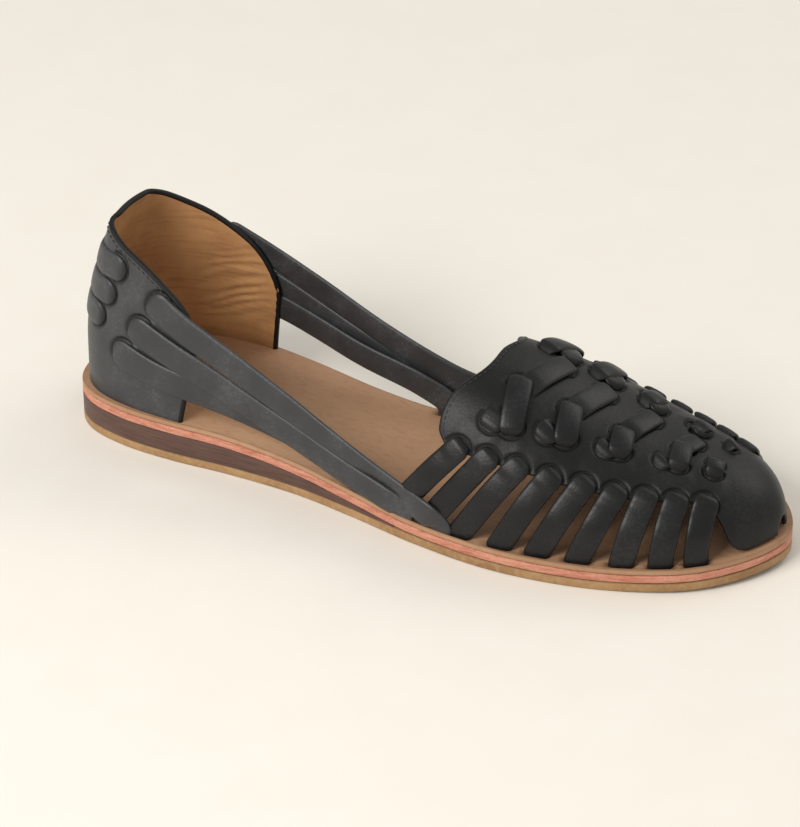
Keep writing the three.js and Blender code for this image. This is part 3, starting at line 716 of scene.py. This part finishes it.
def slab(name, from_x, to_x, bottom, top, radius, material, columns=2, dips=None):
    """One layer of the sole with its edges rounded, and soft dips in its top, with painted shade, where
    straps go through
    """
    stops = from_x + (to_x - from_x) * (0.5 - 0.5 * np.cos(np.pi * np.linspace(0, 1, SOLE_STOPS)))
    turns = [share * math.pi / 2 for share in EDGE_ROUND]
    levels = [(radius * (1 - math.sin(a)), radius * (1 - math.cos(a)), False) for a in turns]
    levels += [(inset, -rise, True) for inset, rise, _ in levels[::-1]]
    n = len(stops)
    rings, edges = [], []
    for inset, rise, at_top in levels:
        low, high = outline(stops, inset)
        loop = np.concatenate([low, high[::-1]])
        height = top(loop[:, 0]) if at_top else bottom(loop[:, 0])
        rings.append(np.concatenate([loop, (height + rise)[:, None]], axis=1))
        edges.append(np.full(len(loop), 1.0 - abs(rise) / radius))
    count = 2 * n
    faces = grid_faces(len(rings), count, wrap=True)
    points = list(rings)
    shades = [np.zeros(count) for _ in rings]
    total = count * len(rings)
    for ring, surface, is_top in ((rings[0], bottom, False), (rings[-1], top, True)):
        low, high = ring[:n], ring[n:][::-1]
        share = np.linspace(0, 1, columns if is_top else 2)[None, :, None]
        cap = mix(low[:, None], high[:, None], share)
        shade = np.zeros(cap.shape[:2])
        if is_top:
            cap[..., 2] = surface(cap[..., 0])
            if dips is not None:
                depth, shade = dips(cap)
                cap[..., 2] -= depth
        points.append(cap.reshape(-1, 3))
        edges.append(np.zeros(cap.shape[0] * cap.shape[1]))
        shades.append(shade.ravel())
        cap_faces = grid_faces(n, cap.shape[1], total)
        faces += cap_faces if is_top else [f[::-1] for f in cap_faces]
        total += cap.shape[0] * cap.shape[1]
    return to_object(name, np.concatenate(points), faces, material,
                     values={"edge": np.concatenate(edges), "shade": np.concatenate(shades)})


SIDES = (-1, 1)
STEPS = 46
slits_vamp, slits_heel, feet = [], [], []


def end_slits(points, outs, width, near):
    """The slits at both ends of a strip, which point the way that the strip runs there"""
    return [Slit(points[k], points[k] - points[k + way * near], outs[k], width / 2)
            for k, way in ((0, 1), (-1, -1))]


def vamp_path(row, side):
    """A vamp strap's middle line, its ways out and how far it stands off the last"""
    foot, top = row["foot"] * LENGTH, row["top"] * LENGTH
    t = 1 - (1 - stations(STEPS, 0.5)) ** 1.6
    reach = np.maximum(0.004, row["reach"] * t)
    x = mix(foot, top, t ** 0.85)
    across = 1 - reach if side > 0 else reach
    points = last_point(x, across)
    outs = last_normal(x, across)
    bow = mix(row["low"], row["middle"], ease(2 * t)) * LEATHER * np.sin(np.pi * clamp01(0.1 + t * 0.9))
    base = np.maximum(bow, (LEATHER - 0.1) * ease((t - 0.6) / 0.22))
    ground, out = foot_at(np.array([foot_index(foot, side)]))
    low = np.array([[ground[0, 0], ground[0, 1], footbed(foot) - depth] for depth in (2.2, 1.2, 0.0)])
    points[0, 2] = footbed(foot)
    points = np.concatenate([low[:2], points])
    sideways = np.append(out[0], 0.0)
    outs = np.concatenate([[sideways, sideways], outs])
    outs[2] = sideways
    base = np.concatenate([[base[0], base[0]], base])
    return points, outs, base


def make_vamp_straps():
    bundle = Bundle()
    for side in SIDES:
        for row in VAMP_STRAPS:
            points, outs, base = vamp_path(row, side)
            ribbon(bundle, points, outs, STRAP_WIDTH, base, start="square", end="slit")
            slits_vamp.append(Slit(points[-1], points[-1] - points[-4], outs[-1], STRAP_WIDTH / 2))
            feet.append((points[2], outs[2], STRAP_WIDTH / 2, base[2] + LEATHER / 2))
    return bundle.finish("vamp_straps", STRAP_BLACK, "upper_leather")


def make_side_straps():
    bundle = Bundle()
    for side in SIDES:
        for path in QUARTER_PATHS:
            route = through([(a * LENGTH, b * COUNTER_HEIGHT, c * LEATHER) for a, b, c in path], 12)
            t = np.linspace(0, 1, len(route))
            if side > 0:
                route[:, 0] += INNER_REACH * LENGTH * ease(t)
                route[:, 1] += INNER_RISE * COUNTER_HEIGHT * np.sin(np.pi * t)
            index = foot_index(route[:, 0], side)
            points, outs = side_wall(index, route[:, 1], 0), wall_out(index, route[:, 1])
            start = side_wall(index[:1], route[:1, 1], LEATHER)[0]
            width = QUARTER_WIDTH + HEEL_SPREAD * (1 - ease(t / 0.45))
            ribbon(bundle, points, outs, width, route[:, 2] + 0.35, end="square", dip=0.7)
            slits_heel.append(Slit(start, points[0] - points[4], outs[0], (QUARTER_WIDTH + HEEL_SPREAD) / 2))
            down = int(np.argmin(np.abs(route[:, 1] - 0.2)))
            feet.append((points[down], outs[down], QUARTER_WIDTH / 2, route[down, 2] + LEATHER / 2))
    return bundle.finish("side_straps", HEEL_BLACK_LIT, "upper_leather")


def make_heel_bands():
    bundle = Bundle()
    for rise, reach in HEEL_BANDS:
        start, end = foot_index(reach * LENGTH, -1), foot_index(reach * LENGTH, 1)
        index = mix(start, end, stations(90, 0.6))
        height = np.full(index.shape, rise * COUNTER_HEIGHT)
        points, outs = side_wall(index, height, LEATHER), wall_out(index, height)
        ribbon(bundle, points, outs, BAND_WIDTH, -0.95, dome=0.2, dip=0.35)
        slits_heel.extend(end_slits(points, outs, BAND_WIDTH + 0.2, 4))
    return bundle.finish("heel_bands", HEEL_BLACK_LIT, "upper_leather")


def strip_line(row, side, t):
    x = mix(row[0], row[2], t) * LENGTH
    end = row[3] if side < 0 else min(row[3], INNER_END)
    share = mix(row[1], end, t)
    across = 1 - share if side > 0 else share
    return last_point(x, across), last_normal(x, across)


def make_braid():
    bundle = Bundle()
    t = stations(54, 0.6)
    for side in SIDES:
        for row in SHORT_STRIPS:
            points, outs = strip_line(row, side, t)
            base = LEATHER * (0.8 + 0.75 * np.sin(np.pi * t) ** 0.7)
            ribbon(bundle, points, outs, row[4], base, dome=0.3)
            slits_vamp.extend(end_slits(points, outs, row[4], 5))
        for row in CROSSING_STRIPS:
            points, outs = strip_line(row, side, t)
            # Goes down under the short strip, and comes up again toward the crest
            under = ease((t - 0.16) / 0.1) * (1 - ease((t - 0.42) / 0.12))
            base = LEATHER * (0.72 - 0.95 * under + 0.3 * ease((t - 0.5) / 0.12))
            ribbon(bundle, points, outs, row[4], base, dome=0.2, dip=0.9)
            slits_vamp.extend(end_slits(points, outs, row[4], 5))
    return bundle.finish("braid", STRAP_BLACK, "upper_leather")


def edged(count, margin):
    """Places from 0 to 1, with a few extra ones close to both ends"""
    close = np.array([0.0, 0.06, 0.15, 0.3, 0.5, 0.75]) * margin
    return np.concatenate([close, np.linspace(margin, 1 - margin, count), 1 - close[::-1]])


def panel_place(u, v):
    """A place on the vamp panel: u from the rear edge to the toe, v from the outer edge to the inner one"""
    rear = read(REAR_EDGE, 0.5 - np.abs(0.5 - v)) * LENGTH + INNER_LAG * ease((v - 0.5) / 0.25)
    x = mix(rear, LAST_FRONT - PANEL_TIP, 1 - (1 - u) ** 1.25)
    reach = read(PANEL_EDGE, x / LENGTH)
    return x, mix(reach, 1 - reach, v)


def make_vamp_panel():
    u, v = np.meshgrid(edged(200, 0.016), edged(200, 0.022), indexing="ij")
    x, across = panel_place(u, v)
    ground, normal = last_point(x, across), last_normal(x, across)
    outer_lift, inner_lift = wall_lifts(rim_distance(ground), LEATHER, 0.9)
    surface = ground + normal * outer_lift[..., None]
    lift = 0.16 * waves(surface, 3, 26) + 0.05 * waves(surface, 5, 9)
    starts = sorted(row[:2] for row in SHORT_STRIPS + CROSSING_STRIPS)
    for side in SIDES:
        for row, (at, start) in zip(VAMP_STRAPS, starts):
            low = row["reach"] + 0.02
            ends = [last_point(np.array(a * LENGTH), np.array(1 - b if side > 0 else b))
                    for a, b in ((row["top"], low), (at, start - 0.012))]
            away = segment_distance(ground, *ends)
            lift += 0.3 * (1 - ease((away - 2.6) / 4.2))
    cut = np.zeros(u.shape)
    for slit in slits_vamp:
        cut = np.maximum(cut, slit.depth(surface, 0.42))
    lift = (lift - 0.7 * cut) * clamp01(rim_distance(ground) / 1.5)
    outside = surface + normal * lift[..., None]
    inside = ground + normal * inner_lift[..., None]
    for face in (outside, inside):
        face[..., 2] = np.maximum(face[..., 2], footbed(np.minimum(face[..., 0], SOLE_END)) + GAP)
    uv = np.stack([x, across * ARC_OVER_STRAP], -1) / 1000
    # The slit grooves also get painted shade through the shade attribute
    return shell("vamp_panel", outside, inside, VAMP_BLACK, uv, {"shade": cut * 0.9})


def counter_place(r, k, low=-1.5):
    """A place on the counter: r from the outer front edge round to the inner one, k from foot to top"""
    def index_at(share):
        ends = [foot_index(mix(COUNTER_FRONT[s + "_foot"], COUNTER_FRONT[s + "_top"], share) * LENGTH, way)
                for s, way in (("outer", -1), ("inner", 1))]
        return mix(ends[0], ends[1], r)
    at = foot_at(index_at(1.0))[0][..., 0] / LENGTH
    high = COUNTER_HEIGHT * read(COUNTER_LINE, at) * mix(1 + TOPLINE_TILT, 1 - TOPLINE_TILT, r)
    height = mix(low, high, k)
    return index_at(clamp01(height / (COUNTER_HEIGHT * COUNTER_FRONT_TOP))), height


# Fine wrinkles low in front of the lining: their middle from the heel and over the footbed, and their reach
WRINKLES = {"length": 44, "height": 20, "spread": 13, "apart": 4.2}


def make_counter():
    r, k = np.meshgrid(edged(290, 0.008), edged(130, 0.02), indexing="ij")
    index, height = counter_place(r, k)
    core = side_wall(index, height, 0)
    away = rim_distance(core)
    out = flat_out(index)
    outer_lift, inner_lift = wall_lifts(away, LEATHER - LINING, 0.7)
    surface = side_wall(index, height, LINING + outer_lift)
    cut = np.zeros(r.shape)
    for slit in slits_heel:
        cut = np.maximum(cut, slit.depth(surface, 0.75))
    fade = clamp01(away / 2)
    fold = 0.22 * waves(surface, 11, 30) + 0.06 * waves(surface, 12, 10)
    lift = (fold - 0.95 * cut) * fade
    outside = surface + out * lift[..., None]
    inside = side_wall(index, height, LINING + inner_lift + 0.02)
    uv = np.stack([index, height], -1) / 1000
    # The slit grooves also get painted shade through the shade attribute
    shell("heel_counter", outside, inside, HEEL_BLACK_LIT, uv, {"shade": clamp01(cut * 1.15)})
    lining_out, lining_in = wall_lifts(away, LINING, 0.5)
    ripple = np.zeros(r.shape)
    at_x = core[..., 0]
    for side_share, strength in ((1 - r, 1.0), (r, 0.6)):
        low = (height - WRINKLES["height"] - 0.25 * (at_x - 30)) / WRINKLES["spread"]
        front = (at_x - WRINKLES["length"]) / WRINKLES["spread"]
        zone = np.exp(-front ** 2 - low ** 2) * (side_share < 0.5)
        phase = 2 * np.pi * (height - 0.35 * at_x + 3.0 * waves(core, 21, 22)) / WRINKLES["apart"]
        ripple += strength * zone * np.sin(phase + 1.2 * waves(core, 22, 12))
    soft = 0.35 * waves(core, 23, 34)
    inner_face = side_wall(index, height, lining_in)
    inner_face = inner_face + out * ((0.42 * ripple + soft) * fade)[..., None] * -0.8
    outer_face = side_wall(index, height, lining_out)
    # Painted shade: the lining darkens over its bottom 5 mm, in the corner where it meets the footbed
    corner_painted_shade = ease(1 - height / 5) * 0.35
    return shell("heel_lining", outer_face, inner_face, TAN_LINING, uv,
                 {"shade": corner_painted_shade})


def rim_path():
    """Up the outer front edge of the counter, round its top and down the inner front edge"""
    up, over = np.linspace(0.0, 0.97, 40), np.linspace(0, 1, 230)
    r = np.concatenate([np.zeros_like(up), over, np.ones_like(up)])
    k = np.concatenate([up, np.ones_like(over), up[::-1]])
    return r, k


# Section of the binding: points round it, half its height, how far it sits down and how far it stands out
BINDING = {"sides": 16, "half": 0.95, "lowered": 0.4, "proud": 0.12}


def make_binding():
    """The folded edge round the counter's top and fronts"""
    bundle = Bundle()
    r, k = rim_path()
    index, height = counter_place(r, k)
    points = side_wall(index, height, LEATHER / 2)
    for _ in range(8):
        points[1:-1] = (points[:-2] + 2 * points[1:-1] + points[2:]) / 4
    out = flat_out(index)
    along = unit(np.gradient(points, axis=0))
    away = unit(np.cross(along, out))
    angle = np.linspace(0, 2 * np.pi, BINDING["sides"], endpoint=False)
    reach = np.sign(np.sin(angle)) * np.abs(np.sin(angle)) ** 0.8 * BINDING["half"] - BINDING["lowered"]
    wide = np.cos(angle) * (LEATHER / 2 + BINDING["proud"])
    section = points[:, None] + out[:, None] * wide[:, None] + away[:, None] * reach[:, None]
    n, sides = len(points), BINDING["sides"]
    faces = grid_faces(n, sides, wrap=True)
    faces += [tuple(range(sides))[::-1], tuple(range((n - 1) * sides, n * sides))]
    bundle.add(section.reshape(-1, 3), faces)
    return bundle.finish("counter_binding", EDGE_BLACK, "upper_leather")


# Stitches
def stitch_tree():
    tree = bpy.data.node_groups.new("stitches", "GeometryNodeTree")
    face = tree.interface
    face.new_socket("Geometry", in_out="INPUT", socket_type="NodeSocketGeometry")
    for name in ("Spacing", "Length", "Thickness"):
        face.new_socket(name, in_out="INPUT", socket_type="NodeSocketFloat")
    face.new_socket("Thread", in_out="INPUT", socket_type="NodeSocketMaterial")
    face.new_socket("Geometry", in_out="OUTPUT", socket_type="NodeSocketGeometry")

    def node(kind, settings=None, **links):
        made = tree.nodes.new(kind)
        for key, value in (settings or {}).items():
            setattr(made, key, value)
        for key, value in links.items():
            place = made.inputs[key.replace("_", " ")]
            if isinstance(value, bpy.types.NodeSocket):
                tree.links.new(value, place)
            else:
                place.default_value = value
        return made

    given = tree.nodes.new("NodeGroupInput")
    curve = node("GeometryNodeMeshToCurve", Mesh=given.outputs["Geometry"])
    even = node("GeometryNodeResampleCurve", {"mode": "LENGTH"}, Curve=curve.outputs[0],
                Length=given.outputs["Spacing"])
    tangent = tree.nodes.new("GeometryNodeInputTangent")
    turn = node("FunctionNodeAlignRotationToVector", {"axis": "Z"}, Vector=tangent.outputs[0])
    bead = node("GeometryNodeMeshUVSphere", Segments=8, Rings=5, Radius=1.0)
    size = node("ShaderNodeCombineXYZ", X=given.outputs["Thickness"], Y=given.outputs["Thickness"],
                Z=given.outputs["Length"])
    stitch = node("GeometryNodeTransform", Geometry=bead.outputs[0], Scale=size.outputs[0])
    placed = node("GeometryNodeInstanceOnPoints", Points=even.outputs[0], Instance=stitch.outputs[0],
                  Rotation=turn.outputs[0])
    whole = node("GeometryNodeRealizeInstances", Geometry=placed.outputs[0])
    colored = node("GeometryNodeSetMaterial", Geometry=whole.outputs[0], Material=given.outputs["Thread"])
    done = tree.nodes.new("NodeGroupOutput")
    tree.links.new(colored.outputs[0], done.inputs[0])
    return tree


STITCHES = stitch_tree()


def stitch_row(name, lines, spacing=2.3, length=0.72, thickness=0.2):
    """Rows of stitches along lines of points in millimetres"""
    points = np.concatenate(lines)
    edges, start = [], 0
    for line in lines:
        edges += [(start + i, start + i + 1) for i in range(len(line) - 1)]
        start += len(line)
    mesh = bpy.data.meshes.new(name)
    mesh.from_pydata(((points + SHIFT) / 1000).tolist(), edges, [])
    row = bpy.data.objects.new(name, mesh)
    bpy.context.scene.collection.objects.link(row)
    modifier = row.modifiers.new("stitches", "NODES")
    modifier.node_group = STITCHES
    inputs = {"Spacing": spacing / 1000, "Length": length / 1000, "Thickness": thickness / 1000,
              "Thread": BLACK_THREAD}
    for item in STITCHES.interface.items_tree:
        if item.item_type == "SOCKET" and item.in_out == "INPUT" and item.name in inputs:
            modifier[item.identifier] = inputs[item.name]
    bpy.context.view_layer.update()
    made = bpy.data.meshes.new_from_object(row.evaluated_get(bpy.context.evaluated_depsgraph_get()))
    row.modifiers.clear()
    row.data = made
    made.shade_smooth()
    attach(row, "root")
    return row


def make_stitches():
    r = np.linspace(0.01, 0.99, 260)
    index, height = counter_place(r, np.ones_like(r))
    topline = side_wall(index, height - 1.9, LEATHER + 0.14)
    stitch_row("counter_stitches", [topline])
    v = np.linspace(0.004, 0.996, 260)
    x, across = panel_place(np.zeros_like(v), v)
    rear = last_point(x + 1.8, across) + last_normal(x + 1.8, across) * (LEATHER + 0.12)
    stitch_row("vamp_stitches", [rear], spacing=2.1, length=0.66)


def footbed_dips(cap):
    """Dips in the footbed where straps and counter go through it, with painted shade round them"""
    depth = np.zeros(cap.shape[:2])
    flat = cap[..., :2]
    for point, out, half, lift in feet:
        centre = point[:2] + out[:2] * lift
        side = np.array([-out[1], out[0]])
        a = np.abs((flat - centre) @ side) - half
        b = np.abs((flat - centre) @ out[:2]) - LEATHER / 2
        away = np.hypot(np.maximum(a, 0), np.maximum(b, 0))
        depth = np.maximum(depth, np.exp(-(away / 0.8) ** 2))
    return 0.7 * depth, depth * 0.85


def make_sole():
    outsole = slab("outsole_rubber", 0, SOLE_END, spring_at, outsole_top, 0.5, HONEY_RUBBER)
    wedge_end = WEDGE_FALL[0] * LENGTH
    while wedge_at(wedge_end) > GAP + 0.25:
        wedge_end += 0.5
    wedge = slab("wedge_leather", 0, wedge_end, lambda x: outsole_top(x) + 0.02,
                 lambda x: outsole_top(x) + np.maximum(wedge_at(x) + 0.2, 0.1), 0.04,
                 DARK_WEDGE)
    midsole = slab("midsole_leather", 0, SOLE_END, lambda x: midsole_bottom(x) - 0.08,
                   lambda x: midsole_top(x) + 0.1, 0.45, PINK_EDGE)
    insole = slab("insole_leather", 0, SOLE_END, lambda x: insole_bottom(x) - 0.02, footbed, 0.55,
                  TAN_FOOTBED, columns=150, dips=footbed_dips)
    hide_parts("outsole")
    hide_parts("heel_wedge")
    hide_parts("midsole")
    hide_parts("insole")


vamp_straps = make_vamp_straps()
make_side_straps()
make_heel_bands()
make_braid()
make_vamp_panel()
make_counter()
make_binding()
make_stitches()
make_sole()
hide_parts("upper")


# Floor, light and camera
def make_floor():
    mesh = bpy.data.meshes.new("floor")
    half = 6.0
    corners = [(-half, -half, 0), (half, -half, 0), (half, half, 0), (-half, half, 0)]
    mesh.from_pydata(corners, [], [(0, 1, 2, 3)])
    s = Shader("pale_floor")
    speck = s.noise(s.place(), 40, 2)
    color = s.blend(rgb(243, 239, 230), rgb(239, 234, 224), speck)
    mesh.materials.append(s.finish(color, 0.9, s.bump(speck, 0.0002, 0.1), Specular_IOR_Level=0.1))
    floor = bpy.data.objects.new("floor", mesh)
    bpy.context.scene.collection.objects.link(floor)


def softbox(name, place, target, size, watts, color=(1.0, 0.98, 0.95)):
    data = bpy.data.lights.new(name, "AREA")
    data.shape = "RECTANGLE"
    data.size, data.size_y = size
    data.energy = watts
    data.color = color
    lamp = bpy.data.objects.new(name, data)
    lamp.location = place
    lamp.rotation_mode = "QUATERNION"
    lamp.rotation_quaternion = (Vector(target) - Vector(place)).to_track_quat("-Z", "Y")
    bpy.context.scene.collection.objects.link(lamp)


CAMERA_PLACE = Vector((0.43733, -0.94394, 0.67784))
CAMERA_AIM = Vector((-0.0095, -0.0035, 0.0245))
LENS = 136.3
CLOSER = 1.14

make_floor()
softbox("key", (-0.5, -1.2, 1.05), (0, 0, 0.02), (0.9, 0.8), 20)
softbox("back", (0.7, 1.0, 1.1), (0, 0, 0.03), (1.2, 0.6), 5)
world = bpy.data.worlds.new("studio")
world.use_nodes = True
world.node_tree.nodes["Background"].inputs[0].default_value = (1.0, 0.985, 0.955, 1)
world.node_tree.nodes["Background"].inputs[1].default_value = 0.55
bpy.context.scene.world = world
bpy.context.scene.view_settings.view_transform = "Standard"

lens = bpy.data.cameras.new("camera")
lens.sensor_width = 36
lens.lens = LENS * CLOSER
camera = bpy.data.objects.new("camera", lens)
camera.location = CAMERA_PLACE
camera.rotation_mode = "QUATERNION"
camera.rotation_quaternion = (CAMERA_AIM - CAMERA_PLACE).to_track_quat("-Z", "Y")
bpy.context.scene.collection.objects.link(camera)
bpy.context.scene.camera = camera
